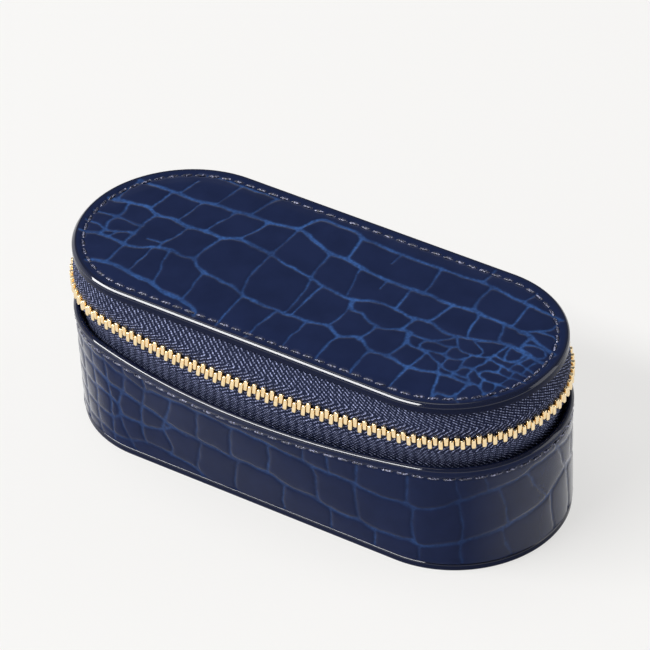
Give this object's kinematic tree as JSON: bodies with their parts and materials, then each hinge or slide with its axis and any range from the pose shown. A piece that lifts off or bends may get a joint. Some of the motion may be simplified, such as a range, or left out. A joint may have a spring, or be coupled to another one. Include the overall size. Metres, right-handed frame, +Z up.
{
  "type": "leather jewellery case",
  "caption": "Oblong zip-around jewellery case in glossy crocodile-embossed leather, with a flat hinged lid, a brass-tooth zip, a stitched rim and a lined tray of ring rolls",
  "frame": {"origin": "centre of the underside of the base panel", "axes": "+X along the length, towards the end where the zip slider parks; +Y to the rear, where the lid is hinged; +Z up"},
  "size_m": [0.1222, 0.0605, 0.0448],
  "materials": {
    "patent_leather": "glossy crocodile-embossed navy leather",
    "hinge_leather": "smooth navy leather",
    "board": "grey stiffening board, hidden",
    "thread": "waxed navy thread",
    "zip_tape": "navy herringbone-woven tape",
    "zip_metal": "polished pale gold",
    "lining": "warm stone suede-like lining",
    "ring_pad": "soft padded warm stone suede-like cloth"
  },
  "bodies": {
    "base": {"base_board": "board", "base_leather": "patent_leather", "wall_board": "board", "wall_leather": "patent_leather", "rim_stitching": "thread", "wall_lining": "lining", "floor_lining": "lining", "divider": "lining", "ring_roll_1": "ring_pad", "ring_roll_2": "ring_pad", "ring_roll_3": "ring_pad", "ring_roll_4": "ring_pad", "lower_zip_tape": "zip_tape", "lower_zip_teeth": "zip_metal", "zip_end_stops": "zip_metal", "hinge_strip": "hinge_leather"},
    "lid": {"lid_board": "board", "lid_leather": "patent_leather", "lid_stitching": "thread", "lid_lining": "lining", "upper_zip_tape": "zip_tape", "upper_zip_teeth": "zip_metal", "zip_tape_end_right": "zip_tape", "zip_tape_end_left": "zip_tape"},
    "slider": {"slider_body": "zip_metal", "slider_bridge": "zip_metal"},
    "pull": {"pull_tab": "zip_metal"}
  },
  "joints": [
    {"name": "lid_hinge", "type": "hinge", "parent": "base", "child": "lid", "pos_m": [0, 0.0248, 0.0356], "axis": [-1, 0, 0], "range_deg": [0, 105], "deforming": ["hinge_strip", "zip_tape_end_right", "zip_tape_end_left"]},
    {"name": "slider_travel", "type": "hinge", "parent": "base", "child": "slider", "pos_m": [0.035, 0, 0.0356], "axis": [0, 0, -1], "range_deg": [0, 140], "deforming": ["lower_zip_teeth", "upper_zip_teeth"]},
    {"name": "pull_swing", "type": "hinge", "parent": "slider", "child": "pull", "pos_m": [0.0402, 0.02833, 0.0356], "axis": [0.9836, -0.1805, 0], "range_deg": [-5, 165]}
  ]
}
